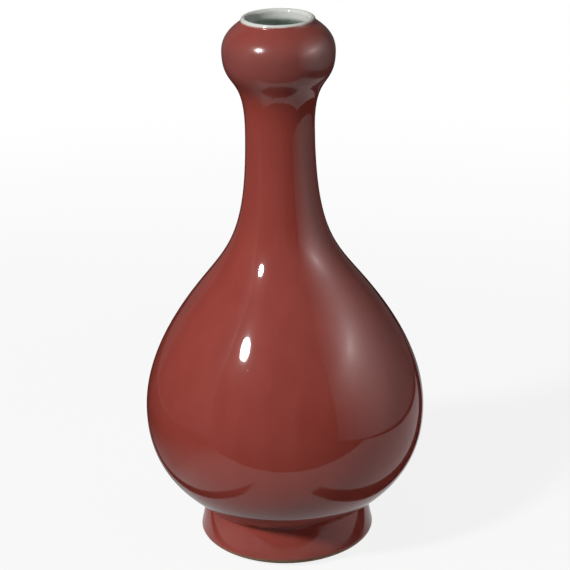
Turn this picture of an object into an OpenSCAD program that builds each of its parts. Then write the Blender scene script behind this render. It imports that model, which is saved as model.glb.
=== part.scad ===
// Garlic head vase: a porcelain bottle with a round belly, a slender neck and a garlic-bulb mouth.
// It is thrown in sections that are luted together with slip, then coated with glaze inside and out.
// The drawing is the finished outside of the vase, from the crease above the foot up to the lip.
// Every clay section and every coat of glaze is taken from that one line, at its own depth below it.
// Millimetres, +Z up, origin at the centre of the face that the foot stands on.

/* [Overall] */
// Height of the whole vase, foot to lip; the neck takes up a change
vase_h = 300; // [285:0.5:320]

/* [Foot] */
// Widest diameter of the bulging foot ring
foot_d = 96; // [88:0.5:104]
// Outer diameter of the flat that the foot stands on
rest_d = 82; // [76:0.5:84]
// Width of the flat that the foot stands on
rest_w = 2.5; // [1.5:0.1:4]
// Inner diameter of the foot ring where it meets the base
foot_bore_d = 73; // [66:0.5:76]
// Height of the foot's widest line above the table
foot_bulge_h = 7; // [5.5:0.1:8.5]
// Height of the crease where the belly rises out of the foot
foot_h = 16.5; // [15:0.1:20]
// Depth of the recess under the base
base_recess = 10; // [7:0.1:12]
// Angle of the bevel under the foot, up from the table
bevel_angle = 32; // [24:1:40]
// Height at which the red glaze stops, above the table
glaze_stop_h = 3; // [2:0.1:4]

/* [Body] */
// Diameter at the crease between the foot and the belly
crease_d = 90; // [84:0.5:94]
// Widest diameter of the belly
belly_d = 154.4; // [135:0.2:175]
// Rise from the crease to the belly's widest line
belly_rise = 62.5; // [52:0.5:75]
// Diameter at the middle of the shoulder, where its curve turns
shoulder_d = 92.8; // [80:0.2:105]
// Rise from the belly's widest line to the middle of the shoulder
shoulder_rise = 71; // [60:0.5:85]
// Slope of the shoulder at its middle, up from the level
shoulder_slope = 52; // [45:1:60]
// Thickness of the floor inside, above the base
floor_t = 7; // [5:0.1:10]

/* [Neck] */
// Narrowest diameter of the neck, at its waist
waist_d = 37.5; // [32:0.1:44]

/* [Garlic bulb] */
// Widest diameter of the garlic bulb
bulb_d = 60.5; // [54:0.1:68]
// Rise from the waist to the bulb's widest line
bulb_rise = 43; // [36:0.5:50]
// Rise from the bulb's widest line to the root of the lip
crown_rise = 16.2; // [13:0.1:20]
// Outer diameter of the lip
lip_d = 39.6; // [36:0.1:44]
// Thickness of the lip with its glaze
lip_t = 3.1; // [2.6:0.1:4]
// Height of the lip's rounded edge
lip_h = 1.8; // [1.3:0.1:2.4]

/* [Walls, glaze and slip] */
// Thickness of the clay wall at the belly
belly_wall = 4.2; // [3.4:0.1:5.5]
// Thickness of the clay wall at the waist of the neck
waist_wall = 3.3; // [2.6:0.1:4]
// Thickness of the copper-red glaze outside
red_glaze_t = 0.5; // [0.4:0.05:0.7]
// Thickness of the pale glaze on the lip, inside and under the base
pale_glaze_t = 0.4; // [0.3:0.05:0.6]
// Thickness of the slip in each luted seam
slip_t = 0.6; // [0.4:0.1:1]
// Height of the neck's lower seam above the middle of the shoulder
neck_seam_h = 35; // [25:0.5:45]

/* [Curve fullness, each a share of the rise that it bends] */
// Upright start of the belly above the crease
crease_pull = 0.28; // [0.15:0.01:0.35]
// Steepness of the wall as it leaves the crease, up from the level
crease_slope = 75; // [60:1:85]
// Fullness of the belly below its widest line
belly_pull_low = 0.64; // [0.55:0.01:0.7]
// Fullness of the belly above its widest line
belly_pull_high = 0.366; // [0.3:0.002:0.42]
// Straightness of the shoulder below its middle
shoulder_pull_low = 0.366; // [0.3:0.002:0.42]
// Straightness of the shoulder above its middle
shoulder_pull_high = 0.313; // [0.25:0.001:0.37]
// Length of the slender stretch below the waist
waist_pull_low = 0.658; // [0.58:0.002:0.72]
// Length of the slender stretch above the waist
waist_pull_high = 0.737; // [0.65:0.001:0.8]
// Fullness of the bulb below its widest line
bulb_pull_low = 0.461; // [0.38:0.001:0.54]
// Fullness of the bulb above its widest line
bulb_pull_high = 0.658; // [0.55:0.002:0.72]
// Upright turn of the bulb's top into the lip
lip_pull = 0.09; // [0.05:0.01:0.15]

/* [Hidden] */
$fn = 96;

// Heights of the drawing's stations
belly_z = foot_h + belly_rise;
shoulder_z = belly_z + shoulder_rise;
lip_z = vase_h - lip_h;
bulb_z = lip_z - crown_rise;
waist_z = bulb_z - bulb_rise;
neck_rise = waist_z - shoulder_z;
floor_z = base_recess + floor_t;

// Radii of the foot's corners
foot_bore_r = foot_bore_d / 2;
rest_r = rest_d / 2;
rest_in_r = rest_r - rest_w;

// The clay wall at the lip is what the two glazes leave of its thickness
lip_wall = lip_t - red_glaze_t - pale_glaze_t;

// Chords in each stretch of a curve between two cuts
STEPS = 22;
LIP_STEPS = 12;
SEAM_STEPS = 1;

// Point of a cubic curve with end points a and d and handles b and c
function curve_point(k, t) =
    pow(1 - t, 3) * k[0] + 3 * pow(1 - t, 2) * t * k[1] + 3 * (1 - t) * t * t * k[2] + pow(t, 3) * k[3];
// Direction of travel along the same curve
function curve_way(k, t) =
    3 * pow(1 - t, 2) * (k[1] - k[0]) + 6 * (1 - t) * t * (k[2] - k[1]) + 3 * t * t * (k[3] - k[2]);
// Point at a depth to the left of travel, square to the curve
function sunk_point(k, t, depth) =
    let (way = curve_way(k, t))
    curve_point(k, t) + depth / norm(way) * [-way.y, way.x];
// A direction at an angle up from the level, outward
function slope(angle) = [cos(angle), sin(angle)];
function level_in(angle) = [-cos(angle), sin(angle)];
function backward(list) = [for (i = [len(list) - 1:-1:0]) list[i]];
function between(a, b, steps) = [for (i = [0:steps]) a + (b - a) * i / steps];

// The drawing, as one curve for each stretch between stations
crease = [crease_d / 2, foot_h];
belly = [belly_d / 2, belly_z];
shoulder = [shoulder_d / 2, shoulder_z];
waist = [waist_d / 2, waist_z];
bulb = [bulb_d / 2, bulb_z];
lip = [lip_d / 2, lip_z];
UP = [0, 1];
DRAWING = [
    [crease, crease + crease_pull * belly_rise * slope(crease_slope), belly - belly_pull_low * belly_rise * UP, belly],
    [
        belly, belly + belly_pull_high * shoulder_rise * UP,
        shoulder - shoulder_pull_low * shoulder_rise * level_in(shoulder_slope), shoulder
    ],
    [
        shoulder, shoulder + shoulder_pull_high * neck_rise * level_in(shoulder_slope),
        waist - waist_pull_low * neck_rise * UP, waist
    ],
    [waist, waist + waist_pull_high * bulb_rise * UP, bulb - bulb_pull_low * bulb_rise * UP, bulb],
    [bulb, bulb + bulb_pull_high * crown_rise * UP, lip - lip_pull * crown_rise * UP, lip]
];

// Places along the drawing: the whole part counts stretches, the rest is the share of that stretch
BELLY_INDEX = 1;
SHOULDER_INDEX = 2;
WAIST_INDEX = 3;
BULB_INDEX = 4;
LIP_INDEX = 5;
function stretch(u) = min(floor(u), BULB_INDEX);
function outside(u, depth) = sunk_point(DRAWING[stretch(u)], u - stretch(u), depth);
// Share of a stretch that the slip takes up just above a place
function slip_share(u) = slip_t / norm(curve_way(DRAWING[stretch(u)], u - stretch(u)));
// Place in the neck's stretch that lies at a height, found by halving
function place_at(z, low, high, turns = 30) =
    let (mid = (low + high) / 2)
    turns == 0 ? mid : outside(mid, 0).y < z ? place_at(z, mid, high, turns - 1) : place_at(z, low, mid, turns - 1);

belly_cut = BELLY_INDEX + slip_share(BELLY_INDEX);
neck_seam_u = place_at(shoulder_z + neck_seam_h, SHOULDER_INDEX, WAIST_INDEX);
neck_cut = neck_seam_u + slip_share(neck_seam_u);
bulb_cut = WAIST_INDEX + slip_share(WAIST_INDEX);

// The same places serve the clay and the glaze, so their faces meet all along
LOWER_BODY_RUN = between(0, BELLY_INDEX, STEPS);
BELLY_SEAM_RUN = between(BELLY_INDEX, belly_cut, SEAM_STEPS);
UPPER_BODY_RUN = [each between(belly_cut, SHOULDER_INDEX, STEPS), each between(SHOULDER_INDEX, neck_seam_u, STEPS)];
NECK_SEAM_RUN = between(neck_seam_u, neck_cut, SEAM_STEPS);
NECK_RUN = between(neck_cut, WAIST_INDEX, STEPS);
BULB_SEAM_RUN = between(WAIST_INDEX, bulb_cut, SEAM_STEPS);
BULB_RUN = [each between(bulb_cut, BULB_INDEX, STEPS), each between(BULB_INDEX, LIP_INDEX, STEPS)];
UPPER_RUN = [
    each BELLY_SEAM_RUN, each UPPER_BODY_RUN, each NECK_SEAM_RUN, each NECK_RUN, each BULB_SEAM_RUN, each BULB_RUN
];

// The clay wall thins evenly from the belly to the waist and from the waist to the lip
function wall(u) =
    u < WAIST_INDEX
        ? belly_wall + (waist_wall - belly_wall) * (u - BELLY_INDEX) / (WAIST_INDEX - BELLY_INDEX)
        : waist_wall + (lip_wall - waist_wall) * (u - WAIST_INDEX) / (LIP_INDEX - WAIST_INDEX);
function clay_outside(u) = outside(u, red_glaze_t);
function clay_inside(u) = outside(u, red_glaze_t + wall(u));
function lining(u) = outside(u, red_glaze_t + wall(u) + pale_glaze_t);

// The bowl inside the lower body, from the middle of the floor up to the belly's widest line
FLOOR_PULL = 0.55;
BOWL_PULL = 0.66;
bowl_rim = clay_inside(BELLY_INDEX);
BOWL = [
    [0, floor_z], [FLOOR_PULL * bowl_rim.x, floor_z],
    bowl_rim - BOWL_PULL * (belly_z - floor_z) * UP, bowl_rim
];
function bowl(depth) = [for (t = between(0, 1, STEPS)) sunk_point(BOWL, t, depth)];

// The foot's outside, from the flat that it stands on, up its bevel and bulge, to the crease
BEVEL_PULL = 0.79;
BULGE_PULL_LOW = 0.31;
BULGE_PULL_HIGH = 0.42;
CREASE_PULL_LOW = 0.25;
CREASE_SLOPE_LOW = 59;
foot_out = [foot_d / 2, foot_bulge_h];
FOOT_DRAWING = [
    [
        [rest_r, 0], [rest_r, 0] + BEVEL_PULL * (foot_d - rest_d) / 2 * slope(bevel_angle),
        foot_out - BULGE_PULL_LOW * foot_bulge_h * UP, foot_out
    ],
    [
        foot_out, foot_out + BULGE_PULL_HIGH * (foot_h - foot_bulge_h) * UP,
        crease - CREASE_PULL_LOW * (foot_h - foot_bulge_h) * level_in(CREASE_SLOPE_LOW), crease
    ]
];
function glaze_stop(low = 0, high = 1, turns = 30) =
    let (mid = (low + high) / 2)
    turns == 0 ? mid
    : curve_point(FOOT_DRAWING[0], mid).y < glaze_stop_h ? glaze_stop(mid, high, turns - 1)
    : glaze_stop(low, mid, turns - 1);
function foot_outside(depth) = [
    for (t = between(glaze_stop(), 1, STEPS)) sunk_point(FOOT_DRAWING[0], t, depth),
    for (t = between(0, 1, STEPS)) sunk_point(FOOT_DRAWING[1], t, depth)
];
foot_clay = foot_outside(red_glaze_t);
foot_shoulder = foot_clay[len(foot_clay) - 1];

// The seat between the foot ring and the rounded bottom of the body
base_edge = [foot_bore_r, base_recess];
seat_edge = [foot_bore_r, base_recess - slip_t];
rest_inner = [rest_in_r, 0];
// Point on the foot's inner wall at a height
function foot_wall_in(z) = rest_inner + (seat_edge - rest_inner) * z / seat_edge.y;

// The lip's rounded edge at a depth under its surface, from its outside over the top to its inside
function lip_edge(depth) = [
    for (a = between(0, 180, LIP_STEPS))
        [lip.x - lip_t / 2 + (lip_t / 2 - depth[a < 90 ? 0 : 1]) * cos(a), lip_z + (lip_h - pale_glaze_t * depth[2]) * sin(a)]
];
LIP_SKIN = [0, 0, 0];
LIP_CLAY = [red_glaze_t, pale_glaze_t, 1];

// Turns an outline drawn as radius and height into a solid
module turned(outline) {
    rotate_extrude() polygon(outline);
}

// A band of clay or slip between two places on the drawing
module clay_band(run) {
    turned([for (u = run) clay_outside(u), for (u = backward(run)) clay_inside(u)]);
}

module foot_ring() {
    color("burlywood")
        turned([rest_inner, [rest_r, 0], each foot_clay, seat_edge]);
}

module foot_slip_seam() {
    color("linen")
        turned([foot_shoulder, clay_outside(0), base_edge, seat_edge]);
}

module lower_body() {
    color("antiquewhite")
        turned([
            [0, base_recess], base_edge,
            for (u = LOWER_BODY_RUN) clay_outside(u),
            each backward(bowl(0))
        ]);
}

module belly_slip_seam() {
    color("linen") clay_band(BELLY_SEAM_RUN);
}

module upper_body() {
    color("antiquewhite") clay_band(UPPER_BODY_RUN);
}

module neck_slip_seam() {
    color("linen") clay_band(NECK_SEAM_RUN);
}

module neck() {
    color("antiquewhite") clay_band(NECK_RUN);
}

module bulb_slip_seam() {
    color("linen") clay_band(BULB_SEAM_RUN);
}

module garlic_bulb() {
    color("antiquewhite")
        turned([
            for (u = BULB_RUN) clay_outside(u),
            each lip_edge(LIP_CLAY),
            for (u = backward(BULB_RUN)) clay_inside(u)
        ]);
}

module red_glaze() {
    color([0.53, 0.2, 0.17])
        turned([
            each foot_outside(0),
            for (u = [each LOWER_BODY_RUN, each UPPER_RUN]) outside(u, 0),
            for (u = backward([each LOWER_BODY_RUN, each UPPER_RUN])) clay_outside(u),
            each backward(foot_clay)
        ]);
}

module lip_glaze() {
    color("whitesmoke")
        turned([each lip_edge(LIP_SKIN), each backward(lip_edge(LIP_CLAY))]);
}

module inner_glaze() {
    color([0.82, 0.86, 0.83])
        turned([
            each bowl(0),
            for (u = UPPER_RUN) clay_inside(u),
            for (u = backward(UPPER_RUN)) lining(u),
            each backward(bowl(pale_glaze_t))
        ]);
}

module base_glaze() {
    inner_stop = foot_wall_in(glaze_stop_h);
    color("whitesmoke")
        turned([
            [0, base_recess], [0, base_recess - pale_glaze_t],
            base_edge - pale_glaze_t * [1, 1], inner_stop - [pale_glaze_t, 0],
            inner_stop, seat_edge, base_edge
        ]);
}

foot_ring();
foot_slip_seam();
lower_body();
belly_slip_seam();
upper_body();
neck_slip_seam();
neck();
bulb_slip_seam();
garlic_bulb();
red_glaze();
lip_glaze();
inner_glaze();
base_glaze();
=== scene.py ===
# Garlic head vase: a thrown porcelain bottle with a copper-red coat, a white lip and a pale lining.
# Metres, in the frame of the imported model: +Z up the vase's axis, -Y towards the viewer.
import math

import bpy
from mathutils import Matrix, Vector, noise


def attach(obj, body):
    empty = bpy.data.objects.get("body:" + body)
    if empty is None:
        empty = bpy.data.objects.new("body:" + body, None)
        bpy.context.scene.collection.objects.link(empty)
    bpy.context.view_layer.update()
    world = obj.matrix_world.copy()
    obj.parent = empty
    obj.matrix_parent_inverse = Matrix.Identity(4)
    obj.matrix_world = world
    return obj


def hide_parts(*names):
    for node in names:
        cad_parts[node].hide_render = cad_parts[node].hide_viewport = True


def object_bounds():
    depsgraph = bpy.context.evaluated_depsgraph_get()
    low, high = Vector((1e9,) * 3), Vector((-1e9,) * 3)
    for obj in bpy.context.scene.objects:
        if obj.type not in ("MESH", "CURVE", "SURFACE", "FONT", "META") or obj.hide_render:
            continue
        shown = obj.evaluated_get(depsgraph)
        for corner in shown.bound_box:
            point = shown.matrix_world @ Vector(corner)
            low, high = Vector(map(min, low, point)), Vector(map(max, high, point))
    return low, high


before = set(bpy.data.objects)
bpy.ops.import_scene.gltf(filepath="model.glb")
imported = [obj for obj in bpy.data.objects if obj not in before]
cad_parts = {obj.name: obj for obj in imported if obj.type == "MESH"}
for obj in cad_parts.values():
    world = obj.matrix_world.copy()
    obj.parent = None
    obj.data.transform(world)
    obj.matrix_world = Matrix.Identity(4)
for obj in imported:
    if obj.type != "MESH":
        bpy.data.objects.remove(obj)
cad_low, cad_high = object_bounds()


# Clay sections: the shoulder, the neck and the bulb are thrown in porcelain, each by itself.
# Their fired clay is white and close-grained, and the coats of glaze cover all of it.
class Field:
    """A value over a surface: one node's output, on which Python's operators add Math nodes."""

    def __init__(self, tree, socket=None):
        self.tree = tree
        self.socket = socket

    def node(self, kind, settings=None, sockets=None, output=0):
        """Adds a node: what it is set to first, then the values or links of its sockets."""
        made = self.tree.nodes.new(kind)
        for name, value in (settings or {}).items():
            setattr(made, name, value)
        for name, value in (sockets or {}).items():
            if isinstance(value, Field):
                self.tree.links.new(value.socket, made.inputs[name])
            else:
                made.inputs[name].default_value = value
        return Field(self.tree, made.outputs[output]) if made.outputs else None

    def math(self, operation, *values):
        """A Math node on fields and plain numbers."""
        return self.node("ShaderNodeMath", {"operation": operation}, dict(enumerate(values)))

    def __add__(self, other):
        return self.math("ADD", self, other)

    def __radd__(self, other):
        return self.math("ADD", other, self)

    def __sub__(self, other):
        return self.math("SUBTRACT", self, other)

    def __rsub__(self, other):
        return self.math("SUBTRACT", other, self)

    def __mul__(self, other):
        return self.math("MULTIPLY", self, other)

    def __rmul__(self, other):
        return self.math("MULTIPLY", other, self)

    def rise(self, low, high):
        """0 below low and 1 above high, with a soft step between."""
        return self.node(
            "ShaderNodeMapRange",
            {"interpolation_type": "SMOOTHSTEP"},
            {"Value": self, "From Min": low, "From Max": high},
        )

    def between(self, low_colour, high_colour):
        """Colour between two, by this value as the share of the second."""
        mix_share, mix_low, mix_high, mix_colour = 0, 6, 7, 2
        return self.node(
            "ShaderNodeMix",
            {"data_type": "RGBA"},
            {mix_share: self, mix_low: low_colour, mix_high: high_colour},
            mix_colour,
        )

    def place(self, stretch=(1.0, 1.0, 1.0)):
        """Place on the object in metres, times a factor along each axis."""
        spot = self.node("ShaderNodeTexCoord", output="Object")
        return self.node("ShaderNodeMapping", {}, {"Vector": spot, "Scale": stretch})

    def cloud(self, grain, detail=2.0, stretch=(1.0, 1.0, 1.0)):
        """Soft noise from 0 to 1, with lumps of a given size in metres."""
        return self.node(
            "ShaderNodeTexNoise",
            {},
            {"Vector": self.place(stretch), "Scale": 1.0 / grain, "Detail": detail},
        )

    def bumps(self, height, depth):
        """A normal that stands up with a height from 0 to 1, over a depth in metres."""
        return self.node("ShaderNodeBump", {}, {"Height": height, "Distance": depth})


def srgb(red, green, blue):
    """A colour written as it looks on screen, from 0 to 255, as the shader's own numbers."""
    parts = [value / 255 for value in (red, green, blue)]
    linear = [part / 12.92 if part <= 0.04045 else ((part + 0.055) / 1.055) ** 2.4 for part in parts]
    return (*linear, 1.0)


def new_finish(name):
    """An empty material, and the field that its nodes grow from."""
    material = bpy.data.materials.new(name)
    material.use_nodes = True
    material.node_tree.nodes.clear()
    return material, Field(material.node_tree)


def close_finish(start, **sockets):
    """Ends a material in one Principled shader, whose sockets are named with _ for a space."""
    named = {name.replace("_", " "): value for name, value in sockets.items()}
    shader = start.node("ShaderNodeBsdfPrincipled", {}, named)
    start.node("ShaderNodeOutputMaterial", {}, {"Surface": shader})


def clay_finish(name, pale, dark, grain):
    """Bare fired clay: matt, with soft clouds in its colour and a fine tooth."""
    cloud_size = 0.02
    tooth_depth = 0.0002
    material, start = new_finish(name)
    tooth = start.cloud(grain, detail=4.0)
    close_finish(
        start,
        Base_Color=start.cloud(cloud_size).between(dark, pale),
        Roughness=0.6 + 0.2 * tooth,
        Normal=start.bumps(tooth, tooth_depth),
    )
    return material


def dress(material, *nodes):
    """Gives carried-over solids their finish."""
    for node in nodes:
        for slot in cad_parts[node].material_slots:
            slot.material = material


porcelain = clay_finish("fired_porcelain", pale=srgb(238, 233, 223), dark=srgb(226, 219, 206), grain=0.0008)
dress(porcelain, "upper_body", "neck", "garlic_bulb")


# Slip seams: the sections are luted with wet slip of the same clay, wiped flush and fired in place.
# The slip is a little finer in grain and warmer than the thrown walls, and it lies under the glaze too.
fired_slip = clay_finish("fired_slip", pale=srgb(236, 228, 214), dark=srgb(218, 207, 190), grain=0.0005)
dress(fired_slip, "foot_slip_seam", "belly_slip_seam", "neck_slip_seam", "bulb_slip_seam")


# Foot ring: a turned porcelain ring that the vase stands on, glazed on its wall, bare on most of its bevel.
# The bare rim is scraped clean before firing and burns to a warm tan, darker beside the glaze.
TURNS = 240
SHARP_EDGE = 40
REST_R = 0.041
REST_W = 0.0025
FOOT_BORE_R = 0.0365
FOOT_OUT = Vector((0.0483, 0.0068))
CREASE = Vector((0.0450, 0.0226))
SEAT_TOP = Vector((0.0445, 0.0164))
BASE_Z = 0.01
SLIP_T = 0.0006
RED_T = 0.0005
BEVEL_SLOPE = 26
FOOT_SLOPE = 78
CREASE_SLOPE = 77
REST_OUT = Vector((REST_R, 0))
REST_IN = Vector((REST_R - REST_W, 0))
BORE_TOP = Vector((FOOT_BORE_R, BASE_Z - SLIP_T))
GLAZE_STOP = 0.8
GLAZE_WANDER = 0.035
UNDERLAP = 0.03
SEAT_SHARE = 0.6
TAN = srgb(204, 174, 142)
PALE_TAN = srgb(226, 203, 176)
FLUSH = srgb(178, 126, 92)
IRON_SPECK = srgb(84, 58, 42)


def outward(angle):
    """A direction up from the level by an angle in degrees, away from the axis."""
    return Vector((math.cos(math.radians(angle)), math.sin(math.radians(angle))))


def inward(angle):
    """A direction up from the level by an angle in degrees, towards the axis."""
    return Vector((-math.cos(math.radians(angle)), math.sin(math.radians(angle))))


def curve_between(low, low_pull, low_way, high_pull, high_way, high):
    """A cubic curve between two stations, pulled along a direction at each by a share of its rise."""
    rise = high.y - low.y
    return low, low + low_pull * rise * low_way, high - high_pull * rise * high_way, high


def bent(curve, share, depth=0.0):
    """Point of a cubic curve at a share of its run, sunk to the left of travel by a depth."""
    first, second, third, last = curve
    left = 1 - share
    point = left**3 * first + 3 * left**2 * share * second + 3 * left * share**2 * third + share**3 * last
    way = left**2 * (second - first) + 2 * left * share * (third - second) + share**2 * (last - third)
    way.normalize()
    return point + depth * Vector((-way.y, way.x))


def shares(steps):
    """Shares from 0 to 1 in even steps."""
    return [step / steps for step in range(steps + 1)]


def turned(name, outline):
    """A closed mesh turned about the vase's axis, from outline(angle): its (radius, height) points."""
    angles = [2 * math.pi * turn / TURNS for turn in range(TURNS)]
    outlines = [outline(angle) for angle in angles]
    count = len(outlines[0])
    tolerance = 1e-6
    on_axis = [point.x < tolerance for point in outlines[0]]
    corners = []
    index = {}
    for row in range(count):
        for turn in range(1 if on_axis[row] else TURNS):
            point = outlines[turn][row]
            index[row, turn] = len(corners)
            corners.append((point.x * math.cos(angles[turn]), point.x * math.sin(angles[turn]), point.y))
    faces = []
    for row in range(count):
        above = (row + 1) % count
        if on_axis[row] and on_axis[above]:
            continue
        for turn in range(TURNS):
            ahead = (turn + 1) % TURNS
            low = [index[row, 0]] if on_axis[row] else [index[row, turn], index[row, ahead]]
            high = [index[above, 0]] if on_axis[above] else [index[above, ahead], index[above, turn]]
            faces.append(low + high)
    mesh = bpy.data.meshes.new(name)
    mesh.from_pydata(corners, [], faces)
    mesh.validate()
    mesh.shade_smooth()
    mesh.set_sharp_from_angle(angle=math.radians(SHARP_EDGE))
    piece = bpy.data.objects.new(name, mesh)
    bpy.context.scene.collection.objects.link(piece)
    return piece


def seat(piece, material, slot, *nodes):
    """Puts a finished piece in the place of the solids that it stands for."""
    piece.data.materials.append(material)
    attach(piece, "root")
    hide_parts(*nodes)


BEVEL_LINE = (
    REST_OUT,
    REST_OUT + 0.82 * (FOOT_OUT.x - REST_R) * outward(BEVEL_SLOPE),
    FOOT_OUT - 0.3 * FOOT_OUT.y * inward(FOOT_SLOPE),
    FOOT_OUT,
)
WALL_LINE = curve_between(FOOT_OUT, 0.36, inward(FOOT_SLOPE), 0.33, inward(CREASE_SLOPE), CREASE)


def wander(angle, lumps, layer):
    """Smooth noise from -1 to 1 that goes round the vase and closes on itself."""
    return noise.noise(Vector((lumps * math.cos(angle), lumps * math.sin(angle), layer)))


def glaze_stop(angle):
    """Share of the foot's bevel curve where the coat ends, which wanders a little round the foot."""
    return GLAZE_STOP + GLAZE_WANDER * wander(angle, 3, 7.0)


def foot_ring_outline(angle):
    """From the standing flat up the bare bevel, under the coat's edge to the seat, and down the bore."""
    bare_share = glaze_stop(angle) + UNDERLAP
    bare = [bent(BEVEL_LINE, bare_share * share) for share in shares(8)]
    covered = [bent(BEVEL_LINE, bare_share + (1 - bare_share) * share, RED_T) for share in shares(6)]
    side = [bent(WALL_LINE, SEAT_SHARE * share, RED_T) for share in shares(8)[1:]]
    return [REST_IN, *bare, *covered, *side, SEAT_TOP, BORE_TOP]


def axis(start, name):
    """One coordinate of the place on an object, in metres."""
    return start.node("ShaderNodeSeparateXYZ", {}, {"Vector": start.place()}, name)


def foot_rim_finish():
    """Scraped biscuit: tan, with iron specks, a fine tooth and an orange flush next to the glaze."""
    material, start = new_finish("bare_foot_rim")
    tooth = start.cloud(0.0006, detail=4.0)
    specks = start.cloud(0.0011, detail=1.0).rise(0.68, 0.74)
    tan = start.cloud(0.006, detail=3.0).between(TAN, PALE_TAN)
    flush_height = axis(start, "Z") + 0.002 * start.cloud(0.008)
    flushed = flush_height.rise(0.0045, 0.0065).between(tan, FLUSH)
    close_finish(
        start,
        Base_Color=(specks * 0.6).between(flushed, IRON_SPECK),
        Roughness=0.62 + 0.25 * tooth,
        Normal=start.bumps(tooth, 0.00025),
    )
    return material


foot_ring = turned("foot_ring_clay", foot_ring_outline)
seat(foot_ring, foot_rim_finish(), "foot_biscuit", "foot_ring")


# Lower body: a thrown porcelain bowl with a thick floor, luted to the foot below and the shoulder above.
# Its bottom is turned in on the wheel, so that a sharp crease parts the belly from the foot.
UP = Vector((0, 1))
BELLY_Z = 0.079
BELLY_WALL = 0.0042
BELLY = Vector((cad_high.x, BELLY_Z))
BELLY_SLOPE = 39.5
FLOOR_Z = 0.017
FLOOR_FLAT = 0.55
BOWL_STEEP = 0.66
BELLY_LINE = curve_between(CREASE, 0.284, outward(BELLY_SLOPE), 0.597, UP, BELLY)
BOWL_RIM = BELLY - Vector((RED_T + BELLY_WALL, 0))
BOWL_LINE = (
    Vector((0, FLOOR_Z)),
    Vector((FLOOR_FLAT * BOWL_RIM.x, FLOOR_Z)),
    BOWL_RIM - BOWL_STEEP * (BOWL_RIM.y - FLOOR_Z) * UP,
    BOWL_RIM,
)


def lower_body_outline(angle):
    """The same all round: from the base's middle out to the crease, up the belly and down the bowl."""
    outer = [bent(BELLY_LINE, share, RED_T) for share in shares(16)]
    bowl = [bent(BOWL_LINE, 1 - share) for share in shares(16)]
    return [Vector((0, BASE_Z)), Vector((FOOT_BORE_R, BASE_Z)), SEAT_TOP, *outer, *bowl]


lower_body = turned("lower_body_clay", lower_body_outline)
seat(lower_body, porcelain, "porcelain", "lower_body")


# Copper-red glaze: the vase is dipped upside down, so one coat runs from the root of the lip to the foot.
# It is fired to a deep glossy red, a little uneven in thickness, with pinholes where it boiled.
CURVE_STEPS = 32
SHOULDER = Vector((0.0464, 0.15))
SHOULDER_SLOPE = 52
WAIST = Vector((0.01875, 0.239))
BULB = Vector((0.03025, 0.282))
LIP_R = 0.0198
LIP_T = 0.0031
LIP_H = 0.0018
LIP = Vector((LIP_R, cad_high.z - LIP_H))
BODY_LINE = [
    BELLY_LINE,
    curve_between(BELLY, 0.366, UP, 0.366, inward(SHOULDER_SLOPE), SHOULDER),
    curve_between(SHOULDER, 0.313, inward(SHOULDER_SLOPE), 0.658, UP, WAIST),
    curve_between(WAIST, 0.737, UP, 0.461, UP, BULB),
    curve_between(BULB, 0.658, UP, 0.09, UP, LIP),
]
BEAD = 0.05
UNEVEN = 0.00008
LUMP = 0.03
LUMP_STRETCH = 0.6
FINE_LUMPS = 3.1
EVEN_Z = 0.285
LIP_TILT = 0.022
PIT_SPACING = 0.022
RED = srgb(159, 71, 62)
DEEP_RED = srgb(150, 64, 55)
MAUVE = srgb(145, 76, 70)
THIN_RED = srgb(176, 104, 92)
PIT_PINK = srgb(190, 140, 128)
WHITE_GLAZE = srgb(226, 227, 222)
GLAZE_IOR = 1.5


def soft_step(value, low, high):
    """0 below low and 1 above high, with a soft step between."""
    share = min(max((value - low) / (high - low), 0.0), 1.0)
    return share * share * (3 - 2 * share)


def uneven(point, angle):
    """How far the fired surface lies under the drawn line, from the run and boil of the glaze."""
    spot = Vector((point.x * math.cos(angle), point.x * math.sin(angle), LUMP_STRETCH * point.y)) / LUMP
    swell = 0.5 + 0.5 * noise.noise(spot) + 0.2 * noise.noise(FINE_LUMPS * spot)
    return UNEVEN * max(swell, 0.0) * (1 - soft_step(point.y, EVEN_Z, LIP.y))


def quarter_turn(steps):
    """Angles from 0 to a right angle in even steps."""
    return [math.pi / 2 * share for share in shares(steps)]


def red_coat_outline(angle):
    """The coat's outside from its rounded edge at the foot up to the lip, then its clay side down."""
    stop = glaze_stop(angle)
    edge = [
        bent(BEVEL_LINE, stop + BEAD * (1 - math.cos(turn)), RED_T * (1 - math.sin(turn)))
        for turn in quarter_turn(6)
    ]
    bevel = [bent(BEVEL_LINE, stop + BEAD + (1 - stop - BEAD) * share) for share in shares(10)[1:]]
    foot = [bent(WALL_LINE, share) for share in shares(16)[1:]]
    body = [
        bent(curve, share, uneven(bent(curve, share), angle))
        for curve in BODY_LINE
        for share in shares(CURVE_STEPS)[1:]
    ]
    clay_side = [
        bent(curve, 1 - share, RED_T)
        for curve in reversed(BODY_LINE)
        for share in shares(CURVE_STEPS // 4)
    ]
    foot_side = [bent(WALL_LINE, 1 - share, RED_T) for share in shares(4)[1:]]
    bevel_side = [bent(BEVEL_LINE, 1 - (1 - stop) * share, RED_T) for share in shares(4)[1:-1]]
    return [*edge, *bevel, *foot, *body, *clay_side, *foot_side, *bevel_side]


def lip_height(start):
    """Height over the table, by which the coat ends on a line that tilts and wanders a little."""
    return axis(start, "Z") - LIP_TILT * axis(start, "X") + 0.0007 * start.cloud(0.006)


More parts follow.
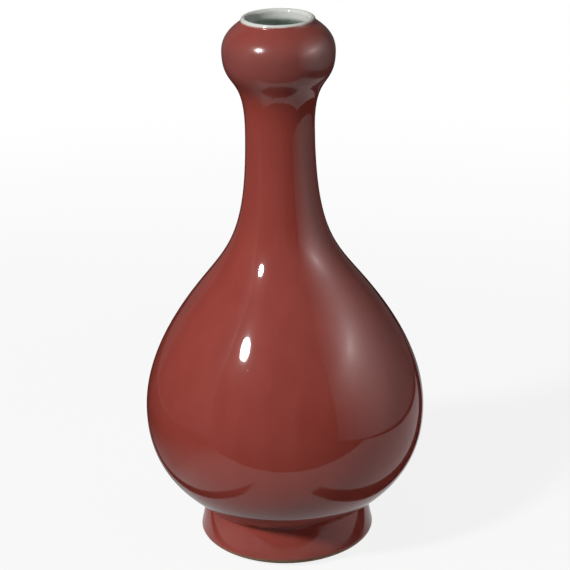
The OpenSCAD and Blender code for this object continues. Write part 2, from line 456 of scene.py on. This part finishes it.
def glaze_colour(start):
    """The red coat's colour, with its drips, clouds and fine grain, thinning to the white lip."""
    drips = start.cloud(0.012, detail=3.0, stretch=(1.0, 1.0, 0.12))
    clouds = start.cloud(0.045, detail=3.0)
    grain = start.cloud(0.0009)
    depth = (0.5 * drips + 0.35 * clouds + 0.15 * grain).rise(0.3, 0.7)
    body = depth.between(DEEP_RED, RED)
    height = axis(start, "Z")
    on_bulb = height.rise(0.252, 0.276)
    on_crown = height.rise(0.284, 0.297)
    red = (on_bulb - 0.7 * on_crown).between(body, MAUVE)
    edge = lip_height(start)
    thin = edge.rise(LIP.y, LIP.y + 0.0011).between(red, THIN_RED)
    return edge.rise(LIP.y + 0.0005, LIP.y + 0.0016).between(thin, WHITE_GLAZE)


def red_glaze_finish():
    """Glossy red glass with pinholes, softer in gloss at the foot's edge and on the bulb."""
    material, start = new_finish("copper_red_glaze")
    pit = start.node("ShaderNodeTexVoronoi", {}, {"Vector": start.place(), "Scale": 1 / PIT_SPACING})
    pits = 1 - pit.rise(0.012, 0.02)
    skin = start.cloud(0.006)
    foot_edge = 1 - axis(start, "Z").rise(0.008, 0.013)
    bulb = axis(start, "Z").rise(0.262, 0.276)
    close_finish(
        start,
        Base_Color=(pits * 0.5).between(glaze_colour(start), PIT_PINK),
        Roughness=0.045 + 0.025 * start.cloud(0.03) + 0.3 * pits + 0.1 * foot_edge + 0.11 * bulb,
        IOR=GLAZE_IOR,
        Coat_Weight=0.05 + 0.1 * bulb,
        Coat_Roughness=0.3,
        Normal=start.bumps(skin - pits, 0.00002),
    )
    return material


red_coat = turned("red_glaze_coat", red_coat_outline)
seat(red_coat, red_glaze_finish(), "copper_red_glaze", "red_glaze")


# Lip glaze: the coat runs down off the rounded lip in the kiln and leaves a clear glaze on white clay.
# It is a smooth glossy ring, with a soft pink border where the red begins.
PALE_T = 0.0004
LIP_STEPS = 16


def lip_edge(out_depth, in_depth, top_depth):
    """The lip's rounded edge, from outside over the top to inside, at depths under its skin."""
    middle = LIP.x - LIP_T / 2
    points = []
    for share in shares(LIP_STEPS):
        angle = math.pi * share
        depth = out_depth if share < 0.5 else in_depth
        reach = (LIP_T / 2 - depth) * math.cos(angle)
        points.append(Vector((middle + reach, LIP.y + (LIP_H - top_depth) * math.sin(angle))))
    return points


def lip_coat_outline(angle):
    """The same all round: over the lip from outside to inside, then back along the clay."""
    return [*lip_edge(0, 0, 0), *reversed(lip_edge(RED_T, PALE_T, PALE_T))]


def from_axis(start):
    """Distance from the vase's axis, in metres."""
    across = axis(start, "X")
    back = axis(start, "Y")
    return start.math("SQRT", across * across + back * back)


def lip_finish():
    """White glass, which takes the red coat's colours on its outside."""
    material, start = new_finish("lip_white_glaze")
    outside = from_axis(start).rise(LIP.x - LIP_T / 2, LIP.x - LIP_T / 3)
    close_finish(
        start,
        Base_Color=outside.between(WHITE_GLAZE, glaze_colour(start)),
        Roughness=0.05 + 0.05 * start.cloud(0.004),
        IOR=GLAZE_IOR,
        Normal=start.bumps(start.cloud(0.002), 0.00002),
    )
    return material


lip_coat = turned("lip_glaze_coat", lip_coat_outline)
seat(lip_coat, lip_finish(), "lip_white_glaze", "lip_glaze")


# Lining: pale glaze is poured in, swirled and poured out, so it lines the neck, the shoulder and the bowl.
# It is glossy and white with a faint green cast, which deepens where the light goes back and forth.
WAIST_WALL = 0.0033
LIP_WALL = LIP_T - RED_T - PALE_T
UPPER_STRETCHES = 4
STRETCH_STEPS = 16
BOWL_STEPS = 24
COLLAR_LOW_Z = 0.2885
COLLAR_Z = 0.2965
GREEN_WHITE = srgb(200, 212, 205)
PALE_GREEN_WHITE = srgb(214, 223, 217)
COLLAR_WHITE = srgb(226, 228, 223)


def wall(place):
    """Clay wall above the belly: place counts stretches of the line from the belly, 0, to the lip, 4."""
    waist_place = 2
    if place < waist_place:
        return BELLY_WALL + (WAIST_WALL - BELLY_WALL) * place / waist_place
    return WAIST_WALL + (LIP_WALL - WAIST_WALL) * (place - waist_place) / (UPPER_STRETCHES - waist_place)


def lining_point(place, depth):
    """Point of the lining above the belly, which ends in a straight collar under the lip."""
    stretch = min(int(place), UPPER_STRETCHES - 1)
    point = bent(BODY_LINE[1 + stretch], place - stretch, RED_T + wall(place) + depth)
    if stretch == UPPER_STRETCHES - 1:
        collar = LIP.x - LIP_T + PALE_T - depth
        point.x += (collar - point.x) * soft_step(point.y, COLLAR_LOW_Z, COLLAR_Z)
    return point


def lining_outline(angle):
    """The same all round: the clay side from the floor's middle to the lip, then the open side back."""
    bowl = shares(BOWL_STEPS)
    places = [UPPER_STRETCHES * share for share in shares(UPPER_STRETCHES * STRETCH_STEPS)]
    return [
        *[bent(BOWL_LINE, share) for share in bowl],
        *[lining_point(place, 0) for place in places[1:]],
        *[lining_point(place, PALE_T) for place in reversed(places)],
        *[bent(BOWL_LINE, share, PALE_T) for share in reversed(bowl[:-1])],
    ]


def lining_finish():
    """Greenish white glass that ran down inside, and is whiter where it thins out under the lip."""
    material, start = new_finish("pale_inner_glaze")
    runs = start.cloud(0.01, detail=3.0, stretch=(1.0, 1.0, 0.2))
    green = runs.between(GREEN_WHITE, PALE_GREEN_WHITE)
    close_finish(
        start,
        Base_Color=axis(start, "Z").rise(0.290, 0.296).between(green, COLLAR_WHITE),
        Roughness=0.06 + 0.06 * runs,
        IOR=GLAZE_IOR,
        Normal=start.bumps(start.cloud(0.006), 0.00004),
    )
    return material


lining_coat = turned("inner_glaze_coat", lining_outline)
seat(lining_coat, lining_finish(), "pale_inner_glaze", "inner_glaze")


# Base glaze: the recess under the foot is brushed with white glaze before firing and left plain.
# It pools a little in the corner and stops short of the bare rim.
POOL = 0.002
BASE_STOP_Z = 0.003
BASE_WANDER = 0.0004
BASE_WHITE = srgb(219, 222, 214)
PALE_BASE_WHITE = srgb(230, 230, 224)
BASE_SPECK = srgb(120, 100, 80)


def base_coat_outline(angle):
    """From the middle out under the base, round the corner and down to the coat's thin edge, then back."""
    stop_z = BASE_STOP_Z + BASE_WANDER * wander(angle, 4, 2.0)
    stop = REST_IN + (BORE_TOP - REST_IN) * (stop_z / BORE_TOP.y)
    corner = Vector((FOOT_BORE_R, BASE_Z))
    under = BASE_Z - PALE_T
    inner = FOOT_BORE_R - PALE_T
    bend = [
        Vector((inner - POOL * (1 - math.sin(turn)), under - POOL * (1 - math.cos(turn))))
        for turn in quarter_turn(8)
    ]
    edge = [stop - Vector((PALE_T, 0)), stop - Vector((PALE_T / 2, PALE_T / 3)), stop]
    return [Vector((0, BASE_Z)), Vector((0, under)), *bend, *edge, BORE_TOP, corner]


def base_finish():
    """White glass with a few iron specks."""
    material, start = new_finish("base_white_glaze")
    specks = start.cloud(0.0016, detail=1.0).rise(0.72, 0.76)
    white = start.cloud(0.02, detail=3.0).between(BASE_WHITE, PALE_BASE_WHITE)
    close_finish(
        start,
        Base_Color=(0.5 * specks).between(white, BASE_SPECK),
        Roughness=0.07 + 0.06 * start.cloud(0.01),
        IOR=GLAZE_IOR,
        Normal=start.bumps(start.cloud(0.005), 0.00005),
    )
    return material


base_coat = turned("base_glaze_coat", base_coat_outline)
seat(base_coat, base_finish(), "base_white_glaze", "base_glaze")


# Table and studio: the eye sees a wide white floor with the vase's shadow. The glaze mirrors a glow standing
# in for a smaller lit pale table top with two painted shadow strips, a lamp high on the left, a wall there
# that catches some light, and a tall lit screen on the right, in a dim room. A weak fill, not mirrored,
# lights the right flank.
def grey(level):
    """A grey of a given strength, where 1 is white."""
    return (level, level, level, 1)


BLACK = grey(0)
WHITE = grey(1)
LAMP_AIM = Vector((0, 0, 0.13))


def rays(start, *kinds):
    """1 for rays of these kinds and 0 for the rest."""
    return sum(start.node("ShaderNodeLightPath", output=f"Is {kind} Ray") for kind in kinds)


def close_glow(start, share, paper_colour, glow_colour):
    """Ends a material in paper that the lamps light, mixed with a glow by a share."""
    mix_share, mix_low, mix_high = 0, 1, 2
    paper = start.node("ShaderNodeBsdfDiffuse", {}, {"Color": paper_colour})
    glow = start.node("ShaderNodeEmission", {}, {"Color": glow_colour, "Strength": 1.0})
    both = start.node("ShaderNodeMixShader", {}, {mix_share: share, mix_low: paper, mix_high: glow})
    start.node("ShaderNodeOutputMaterial", {}, {"Surface": both})


def floor_finish():
    """What the eye sees of the floor: white, with the vase's shadow near it."""
    near_glow = 0.86
    material, start = new_finish("white_floor")
    far = from_axis(start).rise(0.25, 0.9)
    close_glow(start, near_glow + (1 - near_glow) * far, srgb(236, 236, 236), WHITE)
    return material


def table_finish():
    """A glow that the glaze mirrors as a lit pale table top: dimmer left and far back, with a painted shadow
    strip on each side.
    """
    table_glow = 0.58
    material, start = new_finish("pale_table")
    across = axis(start, "X")
    back = axis(start, "Y")
    # Each of the two painted shadows is a dark strip between two straight edges, cut off at one end.
    right_end = (0.5 * across + 0.87 * back).rise(-0.079, -0.072)
    right_near = (0.93 * across - 0.39 * back).rise(0.066, 0.071)
    right_far = (0.87 * across - 0.5 * back).rise(0.095, 0.1)
    right_painted_shadow = right_near * (1 - right_far) * right_end
    leftward = -0.92 * across - 0.33 * back
    left_end = 1 - across.rise(-0.054, -0.046)
    left_painted_shadow = leftward.rise(0.073, 0.077) * (1 - leftward.rise(0.088, 0.092)) * left_end
    corner = back - across
    left_side = (
        across.rise(-0.32, -0.1)
        * (1 - corner.rise(0.12, 0.32))
        * (1 - 0.5 * corner.rise(0.07, 0.14))
    )
    top = table_glow * left_side * (1 - 0.6 * back.rise(0.1, 0.4))
    mirrored = (top * (1 - right_painted_shadow) * (1 - left_painted_shadow)).between(BLACK, WHITE)
    # The paper, which throws light up at the vase, is painted lighter on the right and painted with shade
    # round the foot.
    paper = across.rise(0.0, 0.12).between(srgb(132, 132, 132), srgb(200, 200, 200))
    paper_with_painted_light = from_axis(start).rise(0.048, 0.074).between(srgb(75, 75, 75), paper)
    close_glow(start, rays(start, "Glossy", "Transmission"), paper_with_painted_light, mirrored)
    return material


def screen_finish(name, middle, reach, fade, strength):
    """A lit screen: brightest at its middle (y, z), less with a reach each way and a fade along y."""
    fall_off = -1.15
    material, start = new_finish(name)
    along = axis(start, "Y") - middle[0]
    up = axis(start, "Z") - middle[1]
    far = start.math("SQRT", (along * along) * reach[0] ** -2 + (up * up) * reach[1] ** -2)
    spot = start.math("POWER", 1 + far, fall_off)
    share = spot * start.math("POWER", 1 + (along * along) * fade**-2, -1)
    glow = start.node("ShaderNodeEmission", {}, {"Color": share.between(BLACK, WHITE), "Strength": strength})
    start.node("ShaderNodeOutputMaterial", {}, {"Surface": glow})
    return material


def sheet(name, corners, material):
    """A flat four-cornered piece of the studio."""
    mesh = bpy.data.meshes.new(name)
    mesh.from_pydata(corners, [], [(0, 1, 2, 3)])
    piece = bpy.data.objects.new(name, mesh)
    bpy.context.scene.collection.objects.link(piece)
    mesh.materials.append(material)
    return piece


def level_sheet(name, sides, ends, z, material):
    """A sheet that lies at a height."""
    (left, right), (front, back) = sides, ends
    return sheet(name, [(left, front, z), (right, front, z), (right, back, z), (left, back, z)], material)


def standing_sheet(name, x, ends, heights, material):
    """A sheet that stands at one side, only to be mirrored in the glaze."""
    (front, back), (low, high) = ends, heights
    piece = sheet(name, [(x, front, low), (x, back, low), (x, back, high), (x, front, high)], material)
    piece.visible_camera = False
    piece.visible_diffuse = False


def lamp(name, place, size, watts, shape="SQUARE"):
    """An area lamp that faces the vase."""
    light = bpy.data.lights.new(name, "AREA")
    light.shape = shape
    light.size = size
    light.energy = watts
    made = bpy.data.objects.new(name, light)
    made.location = place
    made.rotation_euler = (LAMP_AIM - made.location).to_track_quat("-Z", "Y").to_euler()
    made.visible_camera = False
    bpy.context.scene.collection.objects.link(made)
    return made


def dim_room():
    """The room: white for the eye and dim for the glaze, darker low in front and black low on the right."""
    world = bpy.data.worlds.new("dim_room")
    world.use_nodes = True
    world.node_tree.nodes.clear()
    start = Field(world.node_tree)
    way = start.node("ShaderNodeTexCoord", output="Generated")
    right, back, up = [start.node("ShaderNodeSeparateXYZ", {}, {"Vector": way}, name) for name in "XYZ"]
    dark_side = right.rise(0.12, 0.22) * (1 - back.rise(0.7, 0.82))
    front = up.rise(-0.45, -0.1).between(grey(0.02), grey(0.1))
    low = dark_side.between(front, BLACK)
    mirrored = up.rise(0.1, 0.6).between(low, grey(0.16))
    dim = rays(start, "Glossy", "Transmission").between(grey(0.14), mirrored)
    seen = rays(start, "Camera").between(dim, WHITE)
    background = start.node("ShaderNodeBackground", {}, {"Color": seen})
    start.node("ShaderNodeOutputWorld", {}, {"Surface": background})
    return world


floor = level_sheet("floor", sides=(-4, 4), ends=(-4, 6), z=0, material=floor_finish())
floor.visible_diffuse = False
floor.visible_glossy = False
floor.visible_transmission = False
floor.visible_shadow = False
table = level_sheet("table_top", sides=(-0.45, 0.31), ends=(-0.185, 1.4), z=-0.0005, material=table_finish())
table.visible_camera = False
right_light = screen_finish("right_screen", middle=(-0.22, 0.565), reach=(0.23, 0.10), fade=0.5, strength=5.5)
standing_sheet("right_screen", x=0.78, ends=(-0.9, 0.9), heights=(-0.13, 1.3), material=right_light)
left_light = screen_finish("left_wall", middle=(-0.55, 0.96), reach=(0.07, 0.22), fade=1.0, strength=1.2)
standing_sheet("left_wall", x=-1.0, ends=(-0.55, 0.9), heights=(-0.1, 1.8), material=left_light)
lamp("key_lamp", place=(-1.83, -1.73, 2.13), size=0.43, watts=82, shape="DISK")
right_fill = lamp("right_fill", place=(0.72, -0.05, 0.15), size=0.28, watts=0.55)
right_fill.visible_glossy = False
bpy.context.scene.world = dim_room()


# Camera: a long lens a little over a metre in front of the vase, looking down on it and rolled by a degree.
# Its focal length and the shift to the vase's axis are written in pixels of the photo.
PHOTO_SIDE = 570
FOCAL_PIXELS = 2220
AXIS_PIXEL = 282.8
CAMERA_PLACE = (0, -1.1348, 0.5849)
LOOK_DOWN = 20.99
ROLL = -1.06
view = bpy.data.cameras.new("camera")
view.sensor_width = 36
view.lens = FOCAL_PIXELS * view.sensor_width / PHOTO_SIDE
view.shift_x = (PHOTO_SIDE / 2 - AXIS_PIXEL) / PHOTO_SIDE
camera = bpy.data.objects.new("camera", view)
camera.rotation_mode = "XYZ"
camera.location = CAMERA_PLACE
camera.rotation_euler = (math.radians(90 - LOOK_DOWN), 0, 0)
camera.rotation_euler.rotate_axis("Z", math.radians(ROLL))
bpy.context.scene.collection.objects.link(camera)
bpy.context.scene.camera = camera
bpy.context.scene.view_settings.view_transform = "Standard"
